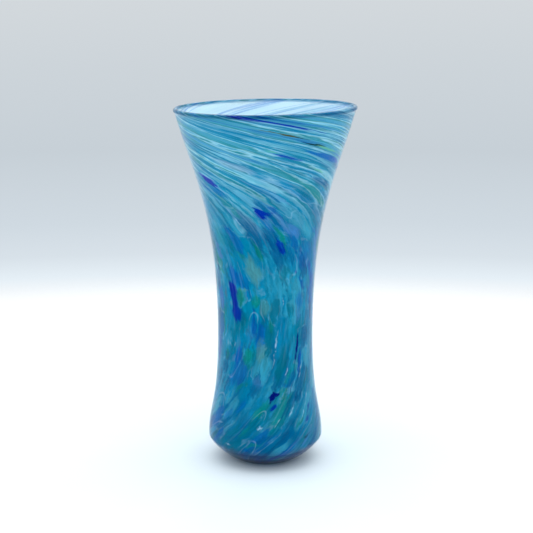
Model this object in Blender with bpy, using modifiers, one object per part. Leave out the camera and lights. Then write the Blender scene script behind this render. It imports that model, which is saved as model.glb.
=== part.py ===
"""A hand blown art glass vase, as the layers of glass that a glassblower gathers over each other.

Metres, +Z up. The origin is on the vase's axis, on the surface that it stands on.
"""

from collections import namedtuple
from math import cos, pi, radians, sin

import bpy
import numpy as np

# Overall shape of the outside
HEIGHT = 0.254
MOUTH_RADIUS = 0.0634
WAIST_RADIUS = 0.0339
WAIST_HEIGHT = 0.0965
FOOT_RADIUS = 0.0409
FOOT_HEIGHT = 0.018
REST_RADIUS = 0.0202

# How far each curve of the outline holds its direction at its ends
MOUTH_LEAN = radians(14.5)
MOUTH_PULL = 0.043
WAIST_UP_PULL = 0.088
WAIST_DOWN_PULL = 0.0565
FOOT_UP_PULL = 0.0225
FOOT_DOWN_PULL = 0.003
REST_SLOPE = radians(18)
REST_PULL = 0.0095

# The hand left the mouth a little higher on its +X side
LIP_RISE = 0.0019
LIP_RISE_POWER = 3

# The fire-polished bead around the lip, which stands a little proud of the wall
LIP_BEAD_RADIUS = 0.0016
LIP_PROUD = 0.0003
LIP_UNDERCUT = radians(48)

# The underside
REST_WIDTH = 0.0048
KICK_DEPTH = 0.0012

# Thickness of each layer at the foot, at the waist and at the mouth
Levels = namedtuple("Levels", "foot waist mouth")
CASING_WALL = Levels(0.0024, 0.0015, 0.0007)
GROUND_WALL = Levels(0.0004, 0.0004, 0.0003)
GATHER_WALL = Levels(0.0030, 0.0016, 0.0007)
CHIP_THICKNESS = 0.0003
LAYER_GAP = 0.0003
CHIP_GAP = 0.00035
CASING_FLOOR = 0.0036
CHIP_SPACE_AT_FLOOR = 0.0012
FLOOR_GAP = 0.0005
GATHER_FLOOR = 0.0050
BOWL_SPREAD = 0.024
BOWL_RISE = 0.006

# Facets
TURN_STEPS = 48
BOWL_POINTS = 5
LOWER_POINTS = 6
FLARE_POINTS = 8
LIP_POINTS = 8
CHIP_CELLS_ACROSS = 2
CHIP_CELL_LENGTH = 0.006

# The twist of the glass: the lean of the flow from upright, at each share of the height
TWIST_SHARES = (0.07, 0.12, 0.20, 0.28, 0.42, 0.50, 0.65, 0.73, 0.81, 1.0)
TWIST_LEANS = (-75.0, -50.0, -28.0, -16.0, -2.0, 6.0, 24.0, 44.0, 64.0, 80.0)

# Name, base colour, roughness and transmission of each glass
Glass = namedtuple("Glass", "color roughness transmission")
GLASSES = {
    "clear_casing_glass": Glass((0.90, 0.97, 1.00, 1), 0.03, 1.0),
    "clear_gather_glass": Glass((0.88, 0.96, 1.00, 1), 0.03, 1.0),
    "aqua_ground_glass": Glass((0.16, 0.52, 0.68, 1), 0.10, 0.7),
    "cobalt_glass": Glass((0.01, 0.06, 0.48, 1), 0.08, 0.4),
    "turquoise_glass": Glass((0.01, 0.30, 0.50, 1), 0.08, 0.4),
    "sea_green_glass": Glass((0.02, 0.34, 0.32, 1), 0.08, 0.4),
    "lilac_glass": Glass((0.36, 0.40, 0.72, 1), 0.10, 0.3),
    "white_glass": Glass((0.82, 0.90, 0.94, 1), 0.12, 0.2),
    "olive_glass": Glass((0.20, 0.16, 0.06, 1), 0.10, 0.3),
}

# Each ring of chips: share of the layers' height, first angle, length, width, and its colours in turn
Ring = namedtuple("Ring", "share start length width colours")
RINGS = (
    Ring(0.950, 250, 0.072, 0.0035, ("cobalt", "turquoise", "lilac", "white")),
    Ring(0.868, 285, 0.050, 0.0040, ("olive", "turquoise", "white", "sea_green")),
    Ring(0.768, 232, 0.042, 0.0055, ("white", "sea_green", "cobalt", "lilac", "turquoise")),
    Ring(0.650, 255, 0.030, 0.0070, ("cobalt", "sea_green", "white", "turquoise", "lilac")),
    Ring(0.506, 240, 0.028, 0.0075, ("cobalt", "sea_green", "turquoise", "lilac", "white")),
    Ring(0.364, 262, 0.026, 0.0070, ("turquoise", "lilac", "cobalt", "sea_green", "white")),
    Ring(0.228, 250, 0.024, 0.0065, ("cobalt", "white", "turquoise", "sea_green")),
    Ring(0.112, 262, 0.020, 0.0070, ("turquoise", "sea_green", "cobalt", "white")),
)
CHIP_TIP_SHARE = 0.22
FULL_TURN = 2 * pi


def clear_scene():
    for thing in list(bpy.data.objects):
        bpy.data.objects.remove(thing, do_unlink=True)


def new_collection(name):
    collection = bpy.data.collections.new(name)
    bpy.context.scene.collection.children.link(collection)
    return collection


def glass_material(name):
    glass = GLASSES[name]
    material = bpy.data.materials.new(name)
    material.use_nodes = True
    shader = material.node_tree.nodes["Principled BSDF"]
    shader.inputs["Base Color"].default_value = glass.color
    shader.inputs["Roughness"].default_value = glass.roughness
    shader.inputs["Transmission Weight"].default_value = glass.transmission
    shader.inputs["Metallic"].default_value = 0.0
    material.diffuse_color = glass.color
    return material


def bezier(start, start_pull, end_pull, end, count):
    """Points (radius, height) along one cubic curve, with its start left out."""
    steps = np.linspace(0, 1, count + 1)[1:, None]
    rest = 1 - steps
    corners = [np.array(corner, float) for corner in (start, start_pull, end_pull, end)]
    shares = (rest**3, 3 * rest**2 * steps, 3 * rest * steps**2, steps**3)
    return sum(share * corner for share, corner in zip(shares, corners))


def side_wall(inset):
    """The wall from the foot's widest point up to the mouth, drawn in by inset."""
    foot = FOOT_RADIUS - inset.foot
    waist = WAIST_RADIUS - inset.waist
    mouth = MOUTH_RADIUS - inset.mouth
    lower = bezier(
        (foot, FOOT_HEIGHT),
        (foot, FOOT_HEIGHT + FOOT_UP_PULL),
        (waist, WAIST_HEIGHT - WAIST_DOWN_PULL),
        (waist, WAIST_HEIGHT),
        LOWER_POINTS,
    )
    flare = bezier(
        (waist, WAIST_HEIGHT),
        (waist, WAIST_HEIGHT + WAIST_UP_PULL),
        (mouth - MOUTH_PULL * sin(MOUTH_LEAN), HEIGHT - MOUTH_PULL * cos(MOUTH_LEAN)),
        (mouth, HEIGHT),
        FLARE_POINTS,
    )
    return np.vstack([[(foot, FOOT_HEIGHT)], lower, flare])


def inner_profile(inset, floor):
    """A wall with a rounded bowl under it, from the axis up to the mouth."""
    foot = FOOT_RADIUS - inset.foot
    bowl = bezier(
        (0, floor),
        (BOWL_SPREAD, floor),
        (foot, FOOT_HEIGHT - BOWL_RISE * (FOOT_HEIGHT - floor) / FOOT_HEIGHT),
        (foot, FOOT_HEIGHT),
        BOWL_POINTS,
    )
    return np.vstack([[(0, floor)], bowl[:-1], side_wall(inset)])


def outer_profile():
    """The outside, from the middle of the hollow under the foot up to the mouth."""
    inner_rest = REST_RADIUS - REST_WIDTH
    kick = bezier(
        (0, KICK_DEPTH),
        (inner_rest / 2, KICK_DEPTH),
        (inner_rest * 3 / 4, 0.0),
        (inner_rest, 0.0),
        BOWL_POINTS,
    )
    round_foot = bezier(
        (REST_RADIUS, 0.0),
        (REST_RADIUS + REST_PULL * cos(REST_SLOPE), REST_PULL * sin(REST_SLOPE)),
        (FOOT_RADIUS, FOOT_HEIGHT - FOOT_DOWN_PULL),
        (FOOT_RADIUS, FOOT_HEIGHT),
        BOWL_POINTS,
    )
    start = [(0, KICK_DEPTH)]
    rest = [(REST_RADIUS, 0.0)]
    return np.vstack([start, kick, rest, round_foot[:-1], side_wall(Levels(0, 0, 0))])


def deeper(inset, *more):
    """An inset with more thicknesses added, each a Levels or one number for all three levels."""
    for step in more:
        if not isinstance(step, Levels):
            step = Levels(step, step, step)
        inset = Levels(*(a + b for a, b in zip(inset, step)))
    return inset


CASING_INSET = CASING_WALL
CHIP_INSET = deeper(CASING_INSET, CHIP_GAP + CHIP_THICKNESS / 2)
GROUND_INSET = deeper(CHIP_INSET, CHIP_GAP + CHIP_THICKNESS / 2)
GROUND_INSIDE = deeper(GROUND_INSET, GROUND_WALL)
GATHER_INSET = deeper(GROUND_INSIDE, LAYER_GAP)
GATHER_INSIDE = deeper(GATHER_INSET, GATHER_WALL)

CHIP_FLOOR = CASING_FLOOR + CHIP_SPACE_AT_FLOOR / 2
GROUND_FLOOR = CASING_FLOOR + CHIP_SPACE_AT_FLOOR
GROUND_FLOOR_TOP = GROUND_FLOOR + GROUND_WALL.foot
GATHER_FLOOR_UNDER = GROUND_FLOOR_TOP + FLOOR_GAP
GATHER_FLOOR_TOP = GATHER_FLOOR_UNDER + GATHER_FLOOR


def risen(point):
    """A point moved up by the slant of the mouth, which fades to nothing down the wall."""
    x, y, z = point
    share = max(z, 0.0) / HEIGHT
    return x, y, z + LIP_RISE * x / (2 * MOUTH_RADIUS) * share**LIP_RISE_POWER


def turned(name, profile, material, collection):
    """A solid of revolution from a profile that runs up its inside and down its outside."""
    mesh = bpy.data.meshes.new(name + "_profile")
    mesh.from_pydata(
        [(radius, 0, height) for radius, height in profile],
        [(i, i + 1) for i in range(len(profile) - 1)],
        [],
    )
    guide = bpy.data.objects.new(name + "_profile", mesh)
    collection.objects.link(guide)
    screw = guide.modifiers.new("Turn", "SCREW")
    screw.steps = TURN_STEPS
    screw.render_steps = TURN_STEPS
    screw.use_merge_vertices = True
    screw.merge_threshold = 0.00001
    bpy.context.view_layer.update()
    graph = bpy.context.evaluated_depsgraph_get()
    solid = bpy.data.meshes.new_from_object(guide.evaluated_get(graph))
    bpy.data.objects.remove(guide, do_unlink=True)
    solid.name = name
    for vertex in solid.vertices:
        vertex.co = risen(vertex.co)
    return placed(name, solid, material, collection)


def placed(name, mesh, material, collection):
    mesh.materials.clear()
    mesh.materials.append(material)
    mesh.shade_smooth()
    thing = bpy.data.objects.new(name, mesh)
    collection.objects.link(thing)
    return thing


def lip_bead():
    """The fire-polished top of the wall, from the underside of its inner edge over to its outer edge."""
    middle = MOUTH_RADIUS + LIP_PROUD - LIP_BEAD_RADIUS
    height = HEIGHT - LIP_BEAD_RADIUS
    angles = np.linspace(pi + LIP_UNDERCUT, -LIP_UNDERCUT, LIP_POINTS)
    return np.column_stack(
        [middle + LIP_BEAD_RADIUS * np.cos(angles), height + LIP_BEAD_RADIUS * np.sin(angles)]
    )


def cut_below(profile, height):
    """A profile that runs up, ended level at a height below its top."""
    kept = profile[profile[:, 1] < height]
    radius = np.interp(height, profile[:, 1], profile[:, 0])
    return np.vstack([kept, [(radius, height)]])


def outer_casing(material, collection):
    """The last clear gather: the outside, the foot, and the lip that closes over the layers inside."""
    bead = lip_bead()
    under_bead = bead[0][1]
    inside = cut_below(inner_profile(CASING_INSET, CASING_FLOOR), under_bead)
    outside = cut_below(outer_profile(), under_bead - LIP_PROUD)
    profile = np.vstack([inside, bead, outside[::-1]])
    return turned("outer_casing", profile, material, collection)


def layer_top():
    """The height at which the layers end, just under the lip."""
    return lip_bead()[0][1] - LAYER_GAP


def layer(name, outer_inset, outer_floor, inner_inset, inner_floor, material, collection):
    """A shell from the floor of the vase up to the lip."""
    top = layer_top()
    inside = cut_below(inner_profile(inner_inset, inner_floor), top)
    outside = cut_below(inner_profile(outer_inset, outer_floor), top)
    return turned(name, np.vstack([inside, outside[::-1]]), material, collection)


def chip_surface():
    """Heights and radii of the surface that the chips lie on."""
    profile = inner_profile(CHIP_INSET, CHIP_FLOOR)
    return profile[:, 1], profile[:, 0]


def chip_centre_line(ring, angle):
    """Points (angle, height) along a chip, which follows the flow of the twisted glass."""
    heights, radii = chip_surface()
    count = max(4, round(ring.length / CHIP_CELL_LENGTH))
    step = ring.length / count
    centre = np.array([angle, ring.share * layer_top()])

    def walk(direction):
        place = centre
        points = []
        for _ in range(count // 2):
            lean = radians(np.interp(place[1] / HEIGHT, TWIST_SHARES, TWIST_LEANS))
            radius = np.interp(place[1], heights, radii)
            place = place + direction * step * np.array([-sin(lean) / radius, cos(lean)])
            points.append(place)
        return points

    return np.array(walk(-1)[::-1] + [centre] + walk(1))


def chip(name, ring, angle, material, collection):
    """A thin lozenge of coloured glass, bent to the wall."""
    heights, radii = chip_surface()
    line = chip_centre_line(ring, angle)
    radius = np.interp(line[:, 1], heights, radii)
    along = np.gradient(line, axis=0) * np.column_stack([radius, np.ones(len(line))])
    along /= np.linalg.norm(along, axis=1)[:, None]
    shares = np.linspace(-1, 1, len(line))
    widths = ring.width / 2 * (CHIP_TIP_SHARE + (1 - CHIP_TIP_SHARE) * np.sqrt(1 - shares**2))
    points = []
    for (turn, height), (across_turn, across_height), width in zip(line, along, widths):
        for side in np.linspace(-1, 1, CHIP_CELLS_ACROSS + 1):
            z = height + side * width * across_turn
            reach = np.interp(z, heights, radii)
            bearing = turn - side * width * across_height / reach
            points.append(risen((reach * cos(bearing), reach * sin(bearing), z)))
    row = CHIP_CELLS_ACROSS + 1
    faces = [
        (i * row + j, i * row + j + 1, (i + 1) * row + j + 1, (i + 1) * row + j)
        for i in range(len(line) - 1)
        for j in range(CHIP_CELLS_ACROSS)
    ]
    mesh = bpy.data.meshes.new(name)
    mesh.from_pydata(points, [], faces)
    thing = placed(name, mesh, material, collection)
    solidify = thing.modifiers.new("Thickness", "SOLIDIFY")
    solidify.thickness = CHIP_THICKNESS
    solidify.offset = 0
    return thing


def colour_chips(materials, collection):
    counts = dict.fromkeys(("cobalt", "turquoise", "sea_green", "lilac", "white", "olive"), 0)
    for ring in RINGS:
        for place, colour in enumerate(ring.colours):
            counts[colour] += 1
            angle = radians(ring.start) + place * FULL_TURN / len(ring.colours)
            name = f"{colour}_chip_{counts[colour]}"
            chip(name, ring, angle, materials[colour + "_glass"], collection)


def main():
    clear_scene()
    collection = new_collection("art_glass_vase")
    materials = {name: glass_material(name) for name in GLASSES}
    outer_casing(materials["clear_casing_glass"], collection)
    layer(
        "colour_ground",
        GROUND_INSET,
        GROUND_FLOOR,
        GROUND_INSIDE,
        GROUND_FLOOR_TOP,
        materials["aqua_ground_glass"],
        collection,
    )
    layer(
        "inner_gather",
        GATHER_INSET,
        GATHER_FLOOR_UNDER,
        GATHER_INSIDE,
        GATHER_FLOOR_TOP,
        materials["clear_gather_glass"],
        collection,
    )
    colour_chips(materials, collection)


main()
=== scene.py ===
"""The finished look of a hand blown art glass vase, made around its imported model.

Metres, +Z up. The front of the vase faces -Y, and bearings are counted round +Z from +X.
"""

from collections import namedtuple
from math import cos, pi, radians, sin

import bpy
import numpy as np
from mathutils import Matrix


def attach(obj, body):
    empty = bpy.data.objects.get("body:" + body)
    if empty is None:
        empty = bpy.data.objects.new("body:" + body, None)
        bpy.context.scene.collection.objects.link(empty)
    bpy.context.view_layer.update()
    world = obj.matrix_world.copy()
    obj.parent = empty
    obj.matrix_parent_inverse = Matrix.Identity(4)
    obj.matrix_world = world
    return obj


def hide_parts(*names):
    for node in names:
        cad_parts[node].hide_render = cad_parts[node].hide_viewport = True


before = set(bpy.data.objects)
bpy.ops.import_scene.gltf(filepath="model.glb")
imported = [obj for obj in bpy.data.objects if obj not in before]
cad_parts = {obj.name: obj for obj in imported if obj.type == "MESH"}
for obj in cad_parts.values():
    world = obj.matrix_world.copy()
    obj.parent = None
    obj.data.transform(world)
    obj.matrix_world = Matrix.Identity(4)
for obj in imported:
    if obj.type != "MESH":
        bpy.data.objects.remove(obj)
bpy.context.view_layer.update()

# ---------------------------------------------------------------- sizes of the glass

MM = 0.001

HEIGHT = 0.254
MOUTH_RADIUS = 0.0634
WAIST_RADIUS = 0.0339
WAIST_HEIGHT = 0.0965
FOOT_RADIUS = 0.0409
FOOT_HEIGHT = 0.018
REST_RADIUS = 0.0202
REST_WIDTH = 0.0048
KICK_DEPTH = 0.0012

MOUTH_LEAN = radians(14.5)
MOUTH_PULL = 0.043
WAIST_UP_PULL = 0.088
WAIST_DOWN_PULL = 0.0565
FOOT_UP_PULL = 0.0225
FOOT_DOWN_PULL = 0.003
REST_SLOPE = radians(18)
REST_PULL = 0.0095

LIP_RISE = 0.0019
LIP_RISE_POWER = 3
LIP_BEAD_RADIUS = 0.0016
LIP_PROUD = 0.0003
LIP_UNDERCUT = radians(48)
LIP_GAP = 0.0003

# Depth under the outside of each glass surface, at the foot, at the waist and at the mouth
Levels = namedtuple("Levels", "foot waist mouth")
OUTSIDE = Levels(0, 0, 0)
COLOUR_OUTSIDE = Levels(0.0024, 0.0015, 0.0007)
CASING_INSIDE = Levels(0.0028, 0.0019, 0.0011)
GATHER_OUTSIDE = Levels(0.0034, 0.0025, 0.0017)
COLOUR_INSIDE = Levels(0.0038, 0.0029, 0.0021)
GATHER_INSIDE = Levels(0.0071, 0.0048, 0.0031)
COLOUR_FLOOR = 0.0036
CASING_FLOOR = 0.0041
GATHER_FLOOR = 0.0047
COLOUR_FLOOR_TOP = 0.0052
GATHER_FLOOR_TOP = 0.0107
BOWL_SPREAD = 0.024
BOWL_RISE = 0.006

CURVE_STEPS = 400
LIP_STEPS = 20
EDGE_STEPS = 9
SIDES = 288
WALL_SPACING = 0.0016

# The twist of the glass: the lean of the flow from upright, in degrees, by share of the height
TWIST_SHARES = (0.07, 0.12, 0.20, 0.28, 0.42, 0.50, 0.65, 0.73, 0.81, 0.90, 1.0)
TWIST_LEANS = (-50.0, -42.0, -28.0, -16.0, -2.0, 6.0, 24.0, 46.0, 65.0, 73.0, 80.0)
FLOW_RADIUS = 0.040


# ---------------------------------------------------------------- outlines of the layers


def bezier(start, start_pull, end_pull, end, count=CURVE_STEPS):
    """Points (radius, height) along one cubic curve, with its start left out."""
    steps = np.linspace(0, 1, count + 1)[1:, None]
    rest = 1 - steps
    corners = [np.array(corner, float) for corner in (start, start_pull, end_pull, end)]
    shares = (rest**3, 3 * rest**2 * steps, 3 * rest * steps**2, steps**3)
    return sum(share * corner for share, corner in zip(shares, corners))


def side_wall(inset):
    """The wall from the foot's widest point up to the mouth, drawn in by inset."""
    foot = FOOT_RADIUS - inset.foot
    waist = WAIST_RADIUS - inset.waist
    mouth = MOUTH_RADIUS - inset.mouth
    lower = bezier(
        (foot, FOOT_HEIGHT),
        (foot, FOOT_HEIGHT + FOOT_UP_PULL),
        (waist, WAIST_HEIGHT - WAIST_DOWN_PULL),
        (waist, WAIST_HEIGHT),
    )
    flare = bezier(
        (waist, WAIST_HEIGHT),
        (waist, WAIST_HEIGHT + WAIST_UP_PULL),
        (mouth - MOUTH_PULL * sin(MOUTH_LEAN), HEIGHT - MOUTH_PULL * cos(MOUTH_LEAN)),
        (mouth, HEIGHT),
    )
    return np.vstack([[(foot, FOOT_HEIGHT)], lower, flare])


def bowl_and_wall(inset, floor):
    """A wall with a rounded bowl under it, from the axis up to the mouth."""
    foot = FOOT_RADIUS - inset.foot
    bowl = bezier(
        (0, floor),
        (BOWL_SPREAD, floor),
        (foot, FOOT_HEIGHT - BOWL_RISE * (FOOT_HEIGHT - floor) / FOOT_HEIGHT),
        (foot, FOOT_HEIGHT),
    )
    return np.vstack([[(0, floor)], bowl[:-1], side_wall(inset)])


def foot_and_wall():
    """The outside, from the middle of the hollow under the foot up to the mouth."""
    inner_rest = REST_RADIUS - REST_WIDTH
    kick = bezier(
        (0, KICK_DEPTH),
        (inner_rest / 2, KICK_DEPTH),
        (inner_rest * 3 / 4, 0.0),
        (inner_rest, 0.0),
    )
    round_foot = bezier(
        (REST_RADIUS, 0.0),
        (REST_RADIUS + REST_PULL * cos(REST_SLOPE), REST_PULL * sin(REST_SLOPE)),
        (FOOT_RADIUS, FOOT_HEIGHT - FOOT_DOWN_PULL),
        (FOOT_RADIUS, FOOT_HEIGHT),
    )
    start = [(0, KICK_DEPTH)]
    rest = [(REST_RADIUS, 0.0)]
    return np.vstack([start, kick, rest, round_foot[:-1], side_wall(OUTSIDE)])


def lip_bead():
    """The fire-polished top of the wall, from under its inner edge over to its outer edge."""
    middle = MOUTH_RADIUS + LIP_PROUD - LIP_BEAD_RADIUS
    height = HEIGHT - LIP_BEAD_RADIUS
    angles = np.linspace(pi + LIP_UNDERCUT, -LIP_UNDERCUT / 2, LIP_STEPS)
    return np.column_stack(
        [middle + LIP_BEAD_RADIUS * np.cos(angles), height + LIP_BEAD_RADIUS * np.sin(angles)]
    )


def cut_below(profile, height):
    """A profile that runs up, ended level at a height below its top."""
    kept = profile[profile[:, 1] < height]
    radius = np.interp(height, profile[:, 1], profile[:, 0])
    return np.vstack([kept, [(radius, height)]])


def evenly(profile, spacing):
    """The same profile with points at an even spacing, its ends kept."""
    lengths = np.linalg.norm(np.diff(profile, axis=0), axis=1)
    along = np.concatenate([[0], np.cumsum(lengths)])
    marks = np.linspace(0, along[-1], max(2, round(along[-1] / spacing)) + 1)
    return np.column_stack([np.interp(marks, along, profile[:, i]) for i in (0, 1)])


BEAD = lip_bead()
UNDER_LIP = BEAD[0][1]
GATHER_TOP = UNDER_LIP - LIP_GAP
COLOUR_TOP = HEIGHT - LIP_BEAD_RADIUS / 2


def casing_profile():
    inside = cut_below(bowl_and_wall(CASING_INSIDE, CASING_FLOOR), UNDER_LIP)
    outside = cut_below(foot_and_wall(), BEAD[-1][1] - LIP_BEAD_RADIUS / 2)
    return [evenly(inside, WALL_SPACING), BEAD, evenly(outside, WALL_SPACING)[::-1]]


def layer_profile(outer, outer_floor, inner, inner_floor, top):
    """A layer from the vase's floor to its top, with a rounded edge there."""
    inside = cut_below(bowl_and_wall(inner, inner_floor), top)
    outside = cut_below(bowl_and_wall(outer, outer_floor), top)
    half = (outside[-1][0] - inside[-1][0]) / 2
    middle = inside[-1] + np.array([half, 0])
    inside = cut_below(inside, top - half)
    outside = cut_below(outside, top - half)
    turn = np.linspace(pi, 0, EDGE_STEPS)[1:-1]
    edge = middle + half * np.column_stack([np.cos(turn), np.sin(turn) - 1])
    return [evenly(inside, WALL_SPACING), edge, evenly(outside, WALL_SPACING)[::-1]]


# ---------------------------------------------------------------- the twisted flow

FLOW_HEIGHTS = np.linspace(0, HEIGHT, 1001)


def flow_turns():
    """How far the glass is turned by the twist, in radians, at each of FLOW_HEIGHTS."""
    wall = side_wall(OUTSIDE)
    radii = np.interp(FLOW_HEIGHTS, wall[:, 1], wall[:, 0])
    leans = np.radians(np.interp(FLOW_HEIGHTS / HEIGHT, TWIST_SHARES, TWIST_LEANS))
    steps = np.tan(leans) / radii
    parts = (steps[1:] + steps[:-1]) / 2 * np.diff(FLOW_HEIGHTS)
    return np.concatenate([[0], np.cumsum(parts)])


FLOW_TURNS = flow_turns()


def flow_place(bearing, height):
    """Where a point of the wall was before the twist: (x, y, height) round a plain cylinder."""
    turn = bearing + np.interp(height, FLOW_HEIGHTS, FLOW_TURNS)
    return np.stack([FLOW_RADIUS * np.cos(turn), FLOW_RADIUS * np.sin(turn), height], -1)


# ---------------------------------------------------------------- meshes


# Outline points nearer to each other than this are one point
SAME_POINT = 1e-6


def risen(points):
    """The points moved up by the slant of the mouth, which fades to nothing down the wall."""
    share = np.maximum(points[:, 2], 0) / HEIGHT
    rise = LIP_RISE * points[:, 0] / (2 * MOUTH_RADIUS) * share**LIP_RISE_POWER
    return np.column_stack([points[:, 0], points[:, 1], points[:, 2] + rise])


def ring_faces(count):
    """Faces of a closed skin of rings. Its two end points come after all the rings."""
    first, last = count * SIDES, count * SIDES + 1
    outermost = (count - 1) * SIDES
    faces = []
    for side in range(SIDES):
        after = (side + 1) % SIDES
        faces.append((first, side, after))
        for ring in range(count - 1):
            low, high = ring * SIDES, (ring + 1) * SIDES
            faces.append((low + side, high + side, high + after, low + after))
        faces.append((last, outermost + after, outermost + side))
    return faces


def turned(name, parts, material):
    """A closed solid of revolution. parts are the inside, the top edge and the outside, in turn."""
    profile = np.vstack(parts)
    inside = np.concatenate(
        [np.full(len(part), share) for part, share in zip(parts, (1.0, 0.5, 0.0))]
    )
    steps = np.linalg.norm(np.diff(profile, axis=0), axis=1)
    kept = np.concatenate([[True], steps > SAME_POINT])
    profile, inside = profile[kept], inside[kept]
    rings, ends = profile[1:-1], (profile[0], profile[-1])
    bearings = np.arange(SIDES) * 2 * pi / SIDES
    round_points = np.column_stack(
        [
            np.outer(rings[:, 0], np.cos(bearings)).ravel(),
            np.outer(rings[:, 0], np.sin(bearings)).ravel(),
            np.repeat(rings[:, 1], SIDES),
        ]
    )
    points = np.vstack([round_points, [(0, 0, ends[0][1])], [(0, 0, ends[1][1])]])
    point_bearings = np.concatenate([np.tile(bearings, len(rings)), [0, 0]])
    flow = flow_place(point_bearings, points[:, 2])
    shares = np.concatenate([np.repeat(inside[1:-1], SIDES), [1.0, 0.0]])

    mesh = bpy.data.meshes.new(name)
    mesh.from_pydata(risen(points).tolist(), [], ring_faces(len(rings)))
    mesh.shade_smooth()
    mesh.materials.append(material)
    layer = mesh.attributes.new("flow", "FLOAT_VECTOR", "POINT")
    layer.data.foreach_set("vector", flow.astype(np.float32).ravel())
    layer = mesh.attributes.new("inside", "FLOAT", "POINT")
    layer.data.foreach_set("value", shares.astype(np.float32))
    piece = bpy.data.objects.new(name, mesh)
    bpy.context.scene.collection.objects.link(piece)
    return piece


# ---------------------------------------------------------------- laying out nodes


class Nodes:
    """Short calls that lay out the nodes of one material or node group."""

    def __init__(self, tree):
        self.tree = tree

    def add(self, kind, settings=None, **inputs):
        """A new node. Each input is a socket to join, or a plain value; _ in its name is a space."""
        node = self.tree.nodes.new(kind)
        for key, value in (settings or {}).items():
            setattr(node, key, value)
        for key, value in inputs.items():
            self.put(node, key.replace("_", " "), value)
        return node

    def put(self, node, socket, value):
        found = node.inputs[int(socket[1:])] if socket[:1] == "#" else node.inputs[socket]
        if isinstance(value, bpy.types.NodeSocket):
            self.tree.links.new(value, found)
        else:
            found.default_value = value

    def maths(self, operation, first, second=0.0):
        node = self.add("ShaderNodeMath", {"operation": operation})
        self.put(node, "#0", first)
        self.put(node, "#1", second)
        return node.outputs[0]

    def vector(self, operation, first, second=(0, 0, 0)):
        node = self.add("ShaderNodeVectorMath", {"operation": operation})
        self.put(node, "#0", first)
        self.put(node, "#1", second)
        return node.outputs["Value" if operation in ("LENGTH", "DOT_PRODUCT") else "Vector"]

    def remap(self, value, low, high, to_low=0.0, to_high=1.0, smooth=False):
        node = self.add(
            "ShaderNodeMapRange",
            {"clamp": True, "interpolation_type": "SMOOTHSTEP" if smooth else "LINEAR"},
            Value=value,
            From_Min=low,
            From_Max=high,
            To_Min=to_low,
            To_Max=to_high,
        )
        return node.outputs["Result"]

    def mix(self, share, first, second, blend="MIX"):
        node = self.add("ShaderNodeMix", {"data_type": "RGBA", "blend_type": blend})
        for index, value in ((0, share), (6, first), (7, second)):
            self.put(node, f"#{index}", value)
        return node.outputs[2]

    def noise(self, place, scale, detail=2.0, roughness=0.5):
        node = self.add(
            "ShaderNodeTexNoise",
            Vector=place,
            Scale=scale,
            Detail=detail,
            Roughness=roughness,
        )
        return node.outputs

    def ramp(self, value, stops, steps=False):
        node = self.add("ShaderNodeValToRGB", Fac=value)
        node.color_ramp.interpolation = "CONSTANT" if steps else "LINEAR"
        elements = node.color_ramp.elements
        while len(elements) > len(stops):
            elements.remove(elements[-1])
        while len(elements) < len(stops):
            elements.new(1.0)
        for element, (place, colour) in zip(elements, stops):
            element.position = place
            element.color = (*colour, 1)
        return node.outputs["Color"]

    def attribute(self, name, output):
        return self.add("ShaderNodeAttribute", {"attribute_name": name}).outputs[output]

    def height(self, place):
        return self.add("ShaderNodeSeparateXYZ", Vector=place).outputs["Z"]

    def group(self, tree, **inputs):
        node = self.add("ShaderNodeGroup", {"node_tree": tree})
        for key, value in inputs.items():
            self.put(node, key.replace("_", " "), value)
        return node.outputs


def new_group(name, inputs, outputs):
    """An empty node group with named sockets, and its own input and output nodes."""
    tree = bpy.data.node_groups.new(name, "ShaderNodeTree")
    for direction, sockets in (("INPUT", inputs), ("OUTPUT", outputs)):
        for label, kind in sockets:
            tree.interface.new_socket(name=label, in_out=direction, socket_type="NodeSocket" + kind)
    nodes = Nodes(tree)
    return tree, nodes, nodes.add("NodeGroupInput").outputs, nodes.add("NodeGroupOutput")


def new_material(name):
    material = bpy.data.materials.new(name)
    material.use_nodes = True
    material.node_tree.nodes.clear()
    nodes = Nodes(material.node_tree)
    return material, nodes, nodes.add("ShaderNodeOutputMaterial")


# ---------------------------------------------------------------- shared effects


# How far a scattered chip reaches in its cell, and the pale rim near its edge
CELL_REACH = 0.62
RIM_REACH = 0.56
RIM_WIDTH = 0.045


def in_cells(nodes, given):
    """The flow measured in cells of the given size, moved on by the given shift."""
    size = nodes.add("ShaderNodeCombineXYZ", X=given["Across"], Y=given["Across"], Z=given["Along"])
    shift = nodes.add("ShaderNodeCombineXYZ", X=given["Shift"], Y=given["Shift"], Z=given["Shift"])
    place = nodes.vector("DIVIDE", given["Flow"], size.outputs[0])
    return nodes.vector("ADD", place, shift.outputs[0])


def make_colour_chip():
    """One soft-edged lozenge of colour, lying along the flow."""
    tree, nodes, given, out = new_group(
        "colour_chip",
        [
            ("Flow", "Vector"),
            ("Centre", "Vector"),
            ("Size", "Vector"),
            ("Softness", "Float"),
            ("Feather", "Float"),
        ],
        [("Mask", "Float")],
    )
    away = nodes.vector("SUBTRACT", given["Flow"], given["Centre"])
    shares = nodes.vector("DIVIDE", away, given["Size"])
    round_reach = nodes.vector("LENGTH", shares)
    sideways = nodes.vector("LENGTH", nodes.vector("MULTIPLY", shares, (1, 1, 0)))
    lengthways = nodes.vector("LENGTH", nodes.vector("MULTIPLY", shares, (0, 0, 1)))
    pointed_reach = nodes.maths("ADD", sideways, lengthways)
    reach = nodes.maths("MULTIPLY", nodes.maths("ADD", round_reach, pointed_reach), 0.5)
    reach = nodes.maths("ADD", reach, given["Feather"])
    inner = nodes.maths("SUBTRACT", 1.0, given["Softness"])
    nodes.put(out, "Mask", nodes.remap(reach, inner, 1.0, 1.0, 0.0, smooth=True))
    return tree


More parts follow.
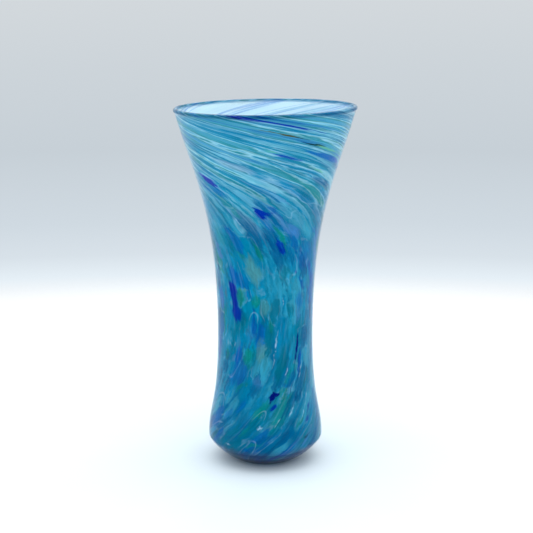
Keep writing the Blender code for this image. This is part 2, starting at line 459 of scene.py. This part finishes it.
def make_chip_scatter():
    """Chips of colour scattered all round. Pick is a number from 0 to 1 for each chip."""
    tree, nodes, given, out = new_group(
        "chip_scatter",
        [
            ("Flow", "Vector"),
            ("Across", "Float"),
            ("Along", "Float"),
            ("Shift", "Float"),
            ("Share", "Float"),
            ("Softness", "Float"),
            ("Feather", "Float"),
        ],
        [("Mask", "Float"), ("Pick", "Float"), ("Edge", "Float")],
    )
    kind = {"feature": "F1", "voronoi_dimensions": "3D"}
    place = in_cells(nodes, given)
    cells = nodes.add("ShaderNodeTexVoronoi", kind, Vector=place, Scale=1.0).outputs
    picks = nodes.add("ShaderNodeSeparateColor", Color=cells["Color"]).outputs
    inner = nodes.maths("SUBTRACT", CELL_REACH, given["Softness"])
    reach = nodes.maths("ADD", cells["Distance"], nodes.maths("MULTIPLY", given["Feather"], 0.5))
    lozenge = nodes.remap(reach, inner, CELL_REACH, 1.0, 0.0, smooth=True)
    rim = nodes.maths("ABSOLUTE", nodes.maths("SUBTRACT", cells["Distance"], RIM_REACH))
    rim = nodes.remap(rim, 0.0, RIM_WIDTH, 1.0, 0.0)
    chosen = nodes.maths("LESS_THAN", picks["Red"], given["Share"])
    nodes.put(out, "Mask", nodes.maths("MULTIPLY", lozenge, chosen))
    nodes.put(out, "Pick", picks["Green"])
    nodes.put(out, "Edge", nodes.maths("MULTIPLY", rim, chosen))
    return tree


def make_pulled_streaks():
    """Fine lines that the twist has drawn out along the flow."""
    tree, nodes, given, out = new_group(
        "pulled_streaks",
        [("Flow", "Vector"), ("Across", "Float"), ("Along", "Float"), ("Shift", "Float")],
        [("Lines", "Float")],
    )
    nodes.put(out, "Lines", nodes.noise(in_cells(nodes, given), 1.0, 3.0, 0.55)["Fac"])
    return tree


FIRE_POLISH = 0.012


def make_blown_surface():
    """The slight waves and smears that the tools and the fire leave on blown glass."""
    tree, nodes, given, out = new_group(
        "blown_surface",
        [("Flow", "Vector"), ("Wave", "Float"), ("Smear", "Float")],
        [("Height", "Float"), ("Roughness", "Float")],
    )
    broad = nodes.noise(given["Flow"], 55.0, 1.0)["Fac"]
    fine = nodes.noise(given["Flow"], 190.0, 2.0)["Fac"]
    height = nodes.maths("ADD", broad, nodes.maths("MULTIPLY", fine, 0.2))
    nodes.put(out, "Height", nodes.maths("MULTIPLY", height, given["Wave"]))
    smears = nodes.remap(nodes.noise(given["Flow"], 85.0, 3.0)["Fac"], 0.45, 0.75)
    rough = nodes.maths("MULTIPLY", smears, given["Smear"])
    nodes.put(out, "Roughness", nodes.maths("ADD", rough, FIRE_POLISH))
    return tree


COLOUR_CHIP = make_colour_chip()
CHIP_SCATTER = make_chip_scatter()
PULLED_STREAKS = make_pulled_streaks()
BLOWN_SURFACE = make_blown_surface()

# ---------------------------------------------------------------- the coloured glass

PALETTE = {
    "cobalt": (0.000, 0.035, 0.42),
    "ink": (0.000, 0.012, 0.22),
    "blue": (0.000, 0.150, 0.490),
    "deep": (0.000, 0.135, 0.320),
    "turquoise": (0.000, 0.285, 0.495),
    "teal": (0.000, 0.215, 0.310),
    "green": (0.004, 0.300, 0.255),
    "leaf": (0.190, 0.560, 0.330),
    "bottle": (0.000, 0.035, 0.030),
    "olive": (0.110, 0.105, 0.030),
    "lilac": (0.070, 0.270, 0.560),
    "mist": (0.060, 0.440, 0.570),
    "rose": (0.400, 0.540, 0.680),
    "sage": (0.110, 0.400, 0.410),
    "milk": (0.520, 0.820, 0.920),
}

# Colour of the glass between the chips, by share of the height
GROUND = (
    (0.00, (0.000, 0.120, 0.280)),
    (0.06, (0.000, 0.165, 0.345)),
    (0.14, (0.000, 0.190, 0.370)),
    (0.28, (0.000, 0.290, 0.470)),
    (0.50, (0.000, 0.320, 0.500)),
    (0.68, (0.000, 0.275, 0.435)),
    (0.84, (0.060, 0.430, 0.560)),
    (0.985, (0.130, 0.540, 0.650)),
    (0.990, (0.010, 0.120, 0.230)),
)

# Which colours the scattered chips take, by the chip's own number
CHIP_COLOURS = (
    ("turquoise", 0.20),
    ("deep", 0.18),
    ("teal", 0.16),
    ("green", 0.12),
    ("mist", 0.13),
    ("lilac", 0.05),
    ("blue", 0.16),
)

# Bands that the twist has drawn out round the flare, by the band's own number
BAND_COLOURS = (
    (0.30, (0.000, 0.120, 0.380)),
    (0.37, (0.010, 0.290, 0.460)),
    (0.425, (0.300, 0.640, 0.730)),
    (0.455, (0.000, 0.200, 0.360)),
    (0.50, (0.030, 0.360, 0.520)),
    (0.54, (0.480, 0.760, 0.820)),
    (0.57, (0.020, 0.270, 0.280)),
    (0.62, (0.120, 0.450, 0.600)),
    (0.68, (0.000, 0.130, 0.420)),
)

# Chips placed one by one: bearing in degrees, height and size across and along in mm, colour,
# strength
Chip = namedtuple("Chip", "bearing height across along colour strength softness", defaults=(0.8, 0.5))
CHIPS = (
    # broad fields of the body, laid first
    Chip(257, 145, 19, 26, "sage", 0.80, 0.60),
    Chip(230, 164, 12, 22, "teal", 0.70, 0.60),
    Chip(276, 168, 17, 26, "deep", 0.72, 0.60),
    Chip(281, 158, 15, 30, "deep", 0.80, 0.55),
    Chip(312, 152, 12, 24, "blue", 0.60, 0.65),
    Chip(317, 174, 8, 20, "mist", 0.80, 0.50),
    Chip(252, 100, 16, 30, "lilac", 0.34, 0.8),
    Chip(300, 172, 13, 17, "lilac", 0.90, 0.40),
    Chip(290, 96, 15, 42, "turquoise", 0.8, 0.35),
    Chip(295, 27, 18, 12, "deep", 0.7, 0.65),
    Chip(271, 26, 13, 11, "deep", 0.8, 0.55),
    Chip(260, 65, 15, 12, "lilac", 0.45, 0.65),
    Chip(266, 88, 14, 26, "sage", 0.75, 0.6),
    Chip(270, 118, 12, 20, "sage", 0.6, 0.6),
    Chip(216, 168, 12, 24, "green", 0.3, 0.75),
    Chip(207, 120, 9, 20, "lilac", 0.6, 0.65),
    Chip(231, 141, 14, 18, "blue", 0.85, 0.5),
    Chip(315, 122, 12, 20, "blue", 0.6, 0.65),
    Chip(228, 66, 14, 26, "blue", 0.6, 0.65),
    Chip(303, 66, 10, 22, "blue", 0.6, 0.65),
    Chip(314, 112, 9, 18, "lilac", 0.5, 0.65),
    Chip(343, 52, 8, 10, "blue", 0.5, 0.65),
    Chip(317, 224, 10, 13, "blue", 0.85, 0.45),
    Chip(321, 205, 10, 13, "teal", 0.8, 0.35),
    # flare
    Chip(246, 219, 17, 17, "rose", 0.55, 0.7),
    Chip(259, 211, 15, 15, "mist", 0.60, 0.7),
    Chip(225, 201, 15, 14, "blue", 0.55, 0.7),
    Chip(194, 236, 12, 14, "blue", 0.65, 0.6),
    Chip(300, 202, 14, 16, "teal", 0.60, 0.65),
    Chip(288, 223, 12, 15, "turquoise", 0.55, 0.65),
    Chip(323, 206, 13, 12, "deep", 0.75, 0.5),
    Chip(286, 246.3, 7.0, 11, "cobalt", 1.0, 0.4),
    Chip(263, 250.8, 6.5, 9, "cobalt", 1.0, 0.35),
    Chip(250, 252.2, 4.5, 6, "ink", 0.9, 0.4),
    Chip(238, 252.8, 5.0, 5, "ink", 0.8, 0.4),
    Chip(262, 245.5, 3.5, 7, "leaf", 0.5, 0.65),
    Chip(250, 249.6, 3.0, 7, "teal", 0.6, 0.65),
    Chip(277, 242.0, 5.0, 8, "olive", 1.0, 0.45),
    Chip(285, 240.0, 3.6, 6, "bottle", 0.8, 0.45),
    Chip(293, 237.0, 2.2, 7, "teal", 0.7, 0.55),
    Chip(309, 231.5, 5.6, 9, "bottle", 1.0, 0.4),
    Chip(321, 228.0, 5.0, 13, "leaf", 0.9, 0.5),
    Chip(333, 220.0, 8, 9, "blue", 0.9, 0.5),
    Chip(284, 225.7, 6, 11, "cobalt", 0.85, 0.5),
    Chip(270, 230.7, 5.5, 9, "leaf", 0.7, 0.6),
    Chip(290, 228.0, 2.6, 8, "rose", 0.7, 0.65),
    Chip(296, 214.0, 5, 11, "teal", 0.85, 0.55),
    Chip(315, 214.0, 4, 7, "leaf", 0.7, 0.65),
    Chip(219, 206.5, 11, 12, "cobalt", 1.0, 0.4),
    Chip(207, 203.0, 6, 9, "blue", 0.7, 0.65),
    Chip(202, 232.0, 3, 7, "milk", 0.7, 0.65),
    Chip(208, 226.0, 3, 5, "milk", 0.7, 0.65),
    Chip(236, 215.3, 2.5, 8, "milk", 0.8, 0.65),
    Chip(246, 224.0, 4, 13, "milk", 0.5, 0.75),
    Chip(277, 201.5, 3.4, 8, "rose", 0.8, 0.65),
    Chip(266, 209.0, 8, 12, "rose", 0.35, 0.75),
    Chip(265, 187.0, 10, 13, "cobalt", 1.0, 0.35),
    Chip(272, 186.0, 11, 6, "cobalt", 0.75, 0.55),
    Chip(280, 187.0, 8, 5, "blue", 0.75, 0.55),
    Chip(286, 169.0, 5.5, 30, "green", 0.9, 0.5),
    Chip(263, 159.0, 7.5, 22, "green", 0.9, 0.5),
    Chip(287, 162.0, 8, 12, "cobalt", 0.9, 0.5),
    Chip(314, 173.0, 4, 18, "mist", 0.7, 0.65),
    Chip(242, 181.0, 1.8, 14, "milk", 0.7, 0.75),
    # body
    Chip(306, 143.5, 4, 5.5, "cobalt", 0.7, 0.55),
    Chip(231, 126, 12, 29, "cobalt", 1.0, 0.4),
    Chip(234, 114, 14, 20, "cobalt", 0.95, 0.45),
    Chip(240, 126, 10, 20, "green", 0.9, 0.5),
    Chip(245, 131, 10, 6, "leaf", 0.3, 0.75),
    Chip(259, 123, 10, 17, "green", 0.9, 0.45),
    Chip(256, 107, 8.5, 24, "blue", 0.85, 0.45),
    Chip(274.5, 96.5, 11, 30, "teal", 0.9, 0.35),
    Chip(278, 106, 6, 13, "green", 0.7, 0.55),
    Chip(293, 121, 7, 15, "turquoise", 0.8, 0.45),
    Chip(302, 113, 7, 16, "teal", 0.7, 0.45),
    Chip(290, 78, 11, 36, "teal", 0.9, 0.35),
    Chip(289, 104, 8, 20, "turquoise", 0.8, 0.4),
    Chip(236, 83, 8.5, 25, "blue", 1.0, 0.4),
    Chip(247.5, 82.5, 8.5, 20, "green", 0.85, 0.45),
    Chip(312, 87.5, 4.6, 28, "ink", 1.0, 0.4),
    Chip(316, 77.5, 4.6, 30, "cobalt", 0.75, 0.55),
    Chip(217.5, 128, 5, 12, "olive", 0.35, 0.75),
    Chip(228, 80, 5, 14, "lilac", 0.6, 0.65),
    Chip(330, 135, 6, 12, "green", 0.4, 0.65),
    # foot
    Chip(279.5, 54, 11, 7.5, "ink", 1.0, 0.4),
    Chip(294, 61.5, 11, 9, "blue", 0.6, 0.65),
    Chip(279, 47, 5.5, 8, "cobalt", 0.9, 0.5),
    Chip(257.5, 20.5, 13, 5, "green", 0.7, 0.55),
    Chip(262, 44, 10, 10, "green", 0.7, 0.55),
    Chip(247, 30, 6, 8, "green", 0.6, 0.55),
    Chip(311, 35, 5, 9, "green", 0.6, 0.65),
    Chip(322.5, 25.5, 9, 6, "bottle", 0.6, 0.65),
    Chip(321, 35, 7, 8, "cobalt", 0.6, 0.65),
    Chip(327, 43, 4, 11, "cobalt", 0.6, 0.65),
    Chip(244, 49, 7, 17, "blue", 0.6, 0.55),
    Chip(219, 62, 8, 19, "deep", 0.6, 0.55),
    Chip(225, 40, 8, 15, "blue", 0.5, 0.55),
    Chip(229, 24, 9, 6, "deep", 0.7, 0.65),
    # pale wisps, laid last
    Chip(262, 32, 7, 2.0, "milk", 0.6, 0.75),
    Chip(283.5, 37.5, 1.8, 11, "milk", 0.5, 0.75),
    Chip(316, 25.6, 2, 11, "milk", 0.7, 0.75),
    Chip(230, 19.4, 9, 2, "milk", 0.5, 0.75),
    Chip(296, 72, 1.8, 20, "milk", 0.7, 0.75),
    Chip(283, 90, 2.2, 34, "milk", 0.75, 0.7),
    Chip(291, 121.5, 1.8, 12, "milk", 0.6, 0.75),
    Chip(317.5, 71.5, 1.8, 22, "milk", 0.6, 0.75),
    Chip(325.5, 52, 1.8, 10, "milk", 0.5, 0.75),
    Chip(318, 42, 1.6, 18, "milk", 0.6, 0.75),
    Chip(300.5, 43.5, 1.6, 9, "milk", 0.6, 0.75),
    Chip(254, 50, 2, 11, "milk", 0.5, 0.75),
    Chip(230.5, 91, 3, 6, "milk", 0.5, 0.75),
)

# How widely the pattern wanders off the flow, round the vase and along it
WANDER = (0.0075, 0.0075, 0.0150)

# How far the brush-like ends reach in and out, and the share of it that placed chips take
FEATHER = 1.5
PLACED_FEATHER = 0.7

# Sizes are across and along the flow. Filled is the share of cells that hold a chip
Scatter = namedtuple("Scatter", "across along shift filled softness")
SCATTERS = (
    Scatter(0.0135, 0.0280, 3.7, 0.80, 0.26),
    Scatter(0.0080, 0.0185, 11.3, 0.55, 0.16),
)
SCATTER_STRENGTH = 0.66
RIM_STRENGTH = 0.16

# Clouds in the ground: offset, noise scale, where each starts and is full, strength and colour
Cloud = namedtuple("Cloud", "offset scale start full strength colour")
CLOUDS = (
    Cloud((0, 0, 0), 46.0, 0.48, 0.64, 0.55, "mist"),
    Cloud((0.5, 0.2, 0.7), 54.0, 0.50, 0.66, 0.65, "deep"),
)

# Squeezing the places along the flow draws the clouds out that way
CLOUD_SQUEEZE = 0.4

# Shares of the height over which each effect comes in or fades
FLARE_BANDS = (0.66, 0.86)
FLARE_LINES = (0.66, 0.90)
BRUSH_FADE = (0.60, 0.85)

WISP_HALF_WIDTH = 0.0075
WISP_STRENGTH = 0.28
LIGHT_LINE_STRENGTH = 0.48
SHADE_LINE_STRENGTH = 0.80

# How much of the colour is left near the floor of the vase, by height in mm: painted shade, darker
# towards the bottom where the foot meets the table.
FOOT_SHADE_BANDS = (
    (0.0, (0.20, 0.44, 0.54)),
    (5.0, (0.20, 0.44, 0.54)),
    (7.0, (0.80, 0.88, 0.92)),
    (9.0, (1.0, 1.0, 1.0)),
)


def streaks(nodes, flow, across, along, shift):
    """A value from 0 to 1 that changes slowly along the flow and quickly across it."""
    drawn = nodes.group(PULLED_STREAKS, Flow=flow, Across=across, Along=along, Shift=shift)
    return drawn["Lines"]


def by_height(nodes, height, bands):
    """A colour for each height, from pairs of a height in mm and a colour."""
    top = bands[-1][0]
    stops = [(place / top, shade) for place, shade in bands]
    return nodes.ramp(nodes.remap(height, 0.0, top * MM), stops)


def painted(nodes, colour, mask, strength, name):
    """The colour so far with a palette colour over it where the mask is set."""
    return nodes.mix(nodes.maths("MULTIPLY", mask, strength), colour, (*PALETTE[name], 1))


def wandering(nodes, flow):
    """The flow pushed about a little, so that no edge runs true."""
    push = nodes.noise(flow, 120.0, 3.0, 0.6)["Color"]
    push = nodes.vector("SUBTRACT", push, (0.5, 0.5, 0.5))
    return nodes.vector("ADD", flow, nodes.vector("MULTIPLY", push, WANDER))


def clouded(nodes, colour, loose):
    """The ground with broad pale and dark clouds in it."""
    squeezed = nodes.vector("MULTIPLY", loose, (1, 1, CLOUD_SQUEEZE))
    for cloud in CLOUDS:
        place = nodes.vector("ADD", squeezed, cloud.offset)
        mask = nodes.noise(place, cloud.scale, 4.0, 0.6)["Fac"]
        mask = nodes.remap(mask, cloud.start, cloud.full)
        colour = painted(nodes, colour, mask, cloud.strength, cloud.colour)
    return colour


def scattered(nodes, colour, flow, feather, scatter):
    """One scatter of chips over the colour so far, each with a broken pale rim."""
    chips = nodes.group(
        CHIP_SCATTER,
        Flow=flow,
        Across=scatter.across,
        Along=scatter.along,
        Shift=scatter.shift,
        Share=scatter.filled,
        Softness=scatter.softness,
        Feather=feather,
    )
    start, stops = 0.0, []
    for name, width in CHIP_COLOURS:
        stops.append((start, PALETTE[name]))
        start += width
    over = nodes.ramp(chips["Pick"], stops, steps=True)
    colour = nodes.mix(nodes.maths("MULTIPLY", chips["Mask"], SCATTER_STRENGTH), colour, over)
    gaps = nodes.remap(nodes.noise(flow, 95.0, 1.0)["Fac"], 0.52, 0.62)
    rim = nodes.maths("MULTIPLY", chips["Edge"], gaps)
    return painted(nodes, colour, rim, RIM_STRENGTH, "milk")


def banded(nodes, colour, loose, share):
    """The bands that the twist has drawn out round the flare, over the colour so far."""
    bands = nodes.ramp(streaks(nodes, loose, 0.0190, 0.1100, 8.0), BAND_COLOURS)
    return nodes.mix(nodes.remap(share, *FLARE_BANDS, 0.0, 0.85), colour, bands)


def placed(nodes, colour, loose, feather):
    """The listed chips, over the colour so far."""
    soft_feather = nodes.maths("MULTIPLY", feather, PLACED_FEATHER)
    for chip in CHIPS:
        centre = flow_place(radians(chip.bearing), chip.height * MM)
        across, along = chip.across * MM / 2, chip.along * MM / 2
        mask = nodes.group(
            COLOUR_CHIP,
            Flow=loose,
            Centre=tuple(float(x) for x in centre),
            Size=(across, across, along),
            Softness=chip.softness,
            Feather=soft_feather,
        )["Mask"]
        colour = painted(nodes, colour, mask, chip.strength, chip.colour)
    return colour


def brushed(nodes, colour, brush, share):
    """Fine light and dark along the flow, which fades up the flare."""
    tone = nodes.remap(brush, 0.30, 0.70, 0.76, 1.24)
    depth = nodes.remap(share, *BRUSH_FADE, 1.0, 0.35)
    return nodes.mix(depth, colour, tone, "MULTIPLY")


def wisped(nodes, colour, flow):
    """Thin pale wisps, with gaps in them."""
    wisps = nodes.noise(nodes.vector("MULTIPLY", flow, (1, 1, 0.40)), 52.0, 0.6)["Fac"]
    wisps = nodes.maths("ABSOLUTE", nodes.maths("SUBTRACT", wisps, 0.5))
    wisps = nodes.remap(wisps, 0.0, WISP_HALF_WIDTH, 1.0, 0.0)
    gaps = nodes.remap(nodes.noise(flow, 58.0, 1.0)["Fac"], 0.52, 0.60)
    return painted(nodes, colour, nodes.maths("MULTIPLY", wisps, gaps), WISP_STRENGTH, "milk")


def lined(nodes, colour, flow, share):
    """Fine broken lines, light and dark, mostly on the flare."""
    lines = streaks(nodes, flow, 0.0032, 0.0400, 5.0)
    breaks = nodes.noise(nodes.vector("MULTIPLY", flow, (1, 1, 0.5)), 60.0)["Fac"]
    breaks = nodes.remap(breaks, 0.42, 0.58)
    upper = nodes.maths("MULTIPLY", nodes.remap(share, *FLARE_LINES, 0.15, 0.85), breaks)
    light = nodes.maths("MULTIPLY", nodes.remap(lines, 0.56, 0.66), upper)
    colour = painted(nodes, colour, light, LIGHT_LINE_STRENGTH, "milk")
    shade = nodes.maths("MULTIPLY", nodes.remap(lines, 0.44, 0.32), upper)
    return painted(nodes, colour, shade, SHADE_LINE_STRENGTH, "teal")


def glass_colour(nodes, flow):
    """The whole pattern of the coloured glass, laid out along the flow, with painted shade near the
    foot.
    """
    height = nodes.height(flow)
    share = nodes.maths("DIVIDE", height, HEIGHT)
    loose = wandering(nodes, flow)
    brush = streaks(nodes, loose, 0.0021, 0.0150, 1.0)
    feather = nodes.maths("MULTIPLY", nodes.maths("SUBTRACT", brush, 0.5), FEATHER)

    colour = clouded(nodes, nodes.ramp(share, GROUND), loose)
    for scatter in SCATTERS:
        colour = scattered(nodes, colour, loose, feather, scatter)
    colour = banded(nodes, colour, loose, share)
    colour = placed(nodes, colour, loose, feather)
    colour = brushed(nodes, colour, brush, share)
    colour = wisped(nodes, colour, flow)
    colour = lined(nodes, colour, flow, share)
    # Painted shade: the colour is made darker near the bottom of the foot.
    return nodes.mix(1.0, colour, by_height(nodes, height, FOOT_SHADE_BANDS), "MULTIPLY")


def let_light_through(nodes, out, look, tint):
    """Joins a surface to the output, with tinted light through it in place of its shadow."""
    clear = nodes.add("ShaderNodeBsdfTransparent", Color=tint)
    light = nodes.add("ShaderNodeLightPath").outputs["Is Shadow Ray"]
    mixed = nodes.add("ShaderNodeMixShader", Fac=light)
    nodes.put(mixed, "#1", look.outputs[0])
    nodes.put(mixed, "#2", clear.outputs[0])
    nodes.put(out, "Surface", mixed.outputs[0])


# Colours of the inner side, by the streak's own number: its streaks, painted much paler as painted
# light, for the bright light that reaches the inside through the mouth.
PAINTED_LIGHT_LINING_COLOURS = (
    (0.28, (0.080, 0.340, 0.540)),
    (0.35, (0.420, 0.660, 0.820)),
    (0.40, (0.900, 0.970, 1.000)),
    (0.53, (0.960, 1.000, 1.000)),
    (0.565, (0.360, 0.520, 0.800)),
    (0.60, (0.850, 0.950, 0.990)),
    (0.68, (0.200, 0.480, 0.620)),
)
PAINTED_LIGHT_LINING_SHARE = 0.92
GLOW_SHARE = 0.45
SHADOW_DEPTH = 0.2


def make_colour_material():
    material, nodes, out = new_material("coloured_glass_layer")
    flow = nodes.attribute("flow", "Vector")
    inside = nodes.attribute("inside", "Fac")
    colour = glass_colour(nodes, flow)
    # Painted light: the inner face is made paler than the outer one, as if lit brightly through the
    # mouth, with its streaks kept.
    lit_lining = nodes.ramp(streaks(nodes, flow, 0.0100, 0.0900, 4.0), PAINTED_LIGHT_LINING_COLOURS)
    colour = nodes.mix(nodes.remap(inside, 0.6, 0.9, 0.0, PAINTED_LIGHT_LINING_SHARE), colour, lit_lining)
    surface = nodes.add(
        "ShaderNodeBsdfPrincipled",
        Base_Color=colour,
        Roughness=0.5,
        Specular_IOR_Level=0.0,
    )
    through = nodes.add("ShaderNodeBsdfTranslucent", Color=colour)
    body = nodes.add("ShaderNodeMixShader", Fac=GLOW_SHARE)
    nodes.put(body, "#1", surface.outputs[0])
    nodes.put(body, "#2", through.outputs[0])
    let_light_through(nodes, out, body, nodes.mix(SHADOW_DEPTH, colour, (0.0, 0.0, 0.0, 1)))
    return material


# Tint of the clear glass at the foot, by height in mm. The colour gathers in the thick edge, and the
# dark bands also hold painted shade of the contact shadow seen in that edge; the pale band between
# them is a painted reflection of the floor.
FOOT_TINTS_SHADE_AND_REFLECTION = (
    (0.0, (0.04, 0.26, 0.42)),
    (7.7, (0.04, 0.26, 0.42)),
    # the pale band: a painted reflection of the floor
    (8.3, (0.96, 0.99, 1.00)),
    (9.2, (0.96, 0.99, 1.00)),
    (9.8, (0.26, 0.50, 0.66)),
    (11.2, (0.26, 0.50, 0.66)),
    (11.7, (0.08, 0.30, 0.48)),
    (12.5, (0.08, 0.30, 0.48)),
    (13.5, (0.80, 0.92, 0.97)),
    (18.0, (0.97, 0.99, 1.00)),
)
REFLECTION_TINT = (0.12, 0.14, 0.16)
CLEAR_SHADOW = (0.84, 0.95, 0.985)

# The casing bends and mirrors light less than real glass, whose bend is about 1.5
Clear = namedtuple("Clear", "tint lip_tint bend")
CASING_GLASS = Clear((0.97, 0.99, 1.0), (0.10, 0.26, 0.40), 1.25)
GATHER_GLASS = Clear((0.96, 0.99, 1.0), (0.80, 0.90, 0.96), 1.45)


def make_clear_material(name, clear):
    material, nodes, out = new_material(name)
    flow = nodes.attribute("flow", "Vector")
    height = nodes.height(flow)
    tint = (*clear.tint, 1)
    lip = nodes.remap(height, UNDER_LIP - 0.4 * MM, UNDER_LIP + 0.6 * MM, smooth=True)
    lip_streaks = nodes.remap(streaks(nodes, flow, 0.006, 0.08, 2.0), 0.4, 0.65, 0.0, 0.4)
    lip_colour = nodes.mix(lip_streaks, (*clear.lip_tint, 1), tint)
    # Painted shade and a painted floor reflection: the dark and pale bands at the foot, over the
    # glass's own tint.
    foot = nodes.mix(1.0, by_height(nodes, height, FOOT_TINTS_SHADE_AND_REFLECTION), tint, "MULTIPLY")
    marks = nodes.group(BLOWN_SURFACE, Flow=flow, Wave=1.0, Smear=0.03)
    bump = nodes.add("ShaderNodeBump", Strength=0.12, Distance=0.4 * MM, Height=marks["Height"])
    glass = nodes.add(
        "ShaderNodeBsdfPrincipled",
        Base_Color=nodes.mix(lip, foot, lip_colour),
        Roughness=marks["Roughness"],
        IOR=clear.bend,
        Transmission_Weight=1.0,
        Specular_Tint=(*REFLECTION_TINT, 1),
        Normal=bump.outputs[0],
    )
    let_light_through(nodes, out, glass, (*CLEAR_SHADOW, 1))
    return material


# ---------------------------------------------------------------- the vase

CHIP_NODES = sorted(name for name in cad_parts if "_chip_" in name)

casing = turned(
    "glass_casing",
    casing_profile(),
    make_clear_material("clear_casing_glass", CASING_GLASS),
)
colour_layer = turned(
    "coloured_glass_layer",
    layer_profile(COLOUR_OUTSIDE, COLOUR_FLOOR, COLOUR_INSIDE, COLOUR_FLOOR_TOP, COLOUR_TOP),
    make_colour_material(),
)
gather = turned(
    "inner_clear_gather",
    layer_profile(GATHER_OUTSIDE, GATHER_FLOOR, GATHER_INSIDE, GATHER_FLOOR_TOP, GATHER_TOP),
    make_clear_material("clear_gather_glass", GATHER_GLASS),
)

for piece in (casing, colour_layer, gather):
    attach(piece, "root")
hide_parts("outer_casing")
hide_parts("colour_ground", *CHIP_NODES)
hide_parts("inner_gather")

# ---------------------------------------------------------------- floor, light and camera

FLOOR_RADIUS = 0.80
FLOOR_SIDES = 96
FLOOR_FADE = (0.32, 0.62)
FLOOR_COLOUR = (0.610, 0.680, 0.715)


def make_floor():
    material, nodes, out = new_material("white_table")
    place = nodes.add("ShaderNodeTexCoord").outputs["Object"]
    far = nodes.vector("LENGTH", place)
    grain = nodes.remap(nodes.noise(place, 9.0, 3.0)["Fac"], 0.3, 0.7, 0.965, 1.0)
    colour = nodes.mix(1.0, (*FLOOR_COLOUR, 1), grain, "MULTIPLY")
    surface = nodes.add(
        "ShaderNodeBsdfPrincipled",
        Base_Color=colour,
        Roughness=0.6,
        Specular_IOR_Level=0.2,
        Alpha=nodes.remap(far, *FLOOR_FADE, 1.0, 0.0, smooth=True),
    )
    nodes.put(out, "Surface", surface.outputs[0])
    bearings = np.linspace(0, 2 * pi, FLOOR_SIDES + 1)[:-1]
    points = [(FLOOR_RADIUS * cos(a), FLOOR_RADIUS * sin(a), 0) for a in bearings]
    mesh = bpy.data.meshes.new("table_top")
    mesh.from_pydata(points, [], [tuple(range(len(points)))])
    mesh.materials.append(material)
    floor = bpy.data.objects.new("table_top", mesh)
    bpy.context.scene.collection.objects.link(floor)
    return floor


make_floor()

# Colour of the surroundings by the sine of the angle above the horizon
SURROUNDINGS = (
    (-1.000, (1.00, 1.00, 1.00)),
    (-0.236, (1.00, 1.00, 1.00)),
    (-0.220, (0.80, 0.88, 0.94)),
    (-0.204, (0.69, 0.76, 0.82)),
    (-0.180, (0.63, 0.70, 0.76)),
    (-0.125, (0.57, 0.63, 0.68)),
    (-0.060, (0.61, 0.66, 0.70)),
    (-0.010, (0.65, 0.69, 0.72)),
    (0.300, (0.66, 0.69, 0.72)),
    (0.650, (1.70, 1.74, 1.78)),
    (1.000, (2.90, 2.92, 2.95)),
)


def make_surroundings():
    world = bpy.data.worlds.new("studio")
    bpy.context.scene.world = world
    world.use_nodes = True
    world.node_tree.nodes.clear()
    nodes = Nodes(world.node_tree)
    way = nodes.add("ShaderNodeTexCoord").outputs["Generated"]
    up = nodes.height(way)
    stops = [((place + 1) / 2, colour) for place, colour in SURROUNDINGS]
    colour = nodes.ramp(nodes.remap(up, -1.0, 1.0), stops)
    light = nodes.add("ShaderNodeBackground", Color=colour, Strength=1.0)
    out = nodes.add("ShaderNodeOutputWorld")
    nodes.put(out, "Surface", light.outputs[0])


CAMERA_PLACE = (0.0009, -0.900, 0.3375)
CAMERA_DROP = 12.33
CAMERA_LENS = 87.86


def make_camera():
    data = bpy.data.cameras.new("camera")
    data.sensor_width = 36.0
    data.lens = CAMERA_LENS
    data.clip_start = 0.01
    data.clip_end = 20.0
    camera = bpy.data.objects.new("camera", data)
    camera.location = CAMERA_PLACE
    camera.rotation_euler = (radians(90 - CAMERA_DROP), 0, 0)
    bpy.context.scene.collection.objects.link(camera)
    bpy.context.scene.camera = camera


make_surroundings()
make_camera()
bpy.context.scene.view_settings.view_transform = "Standard"
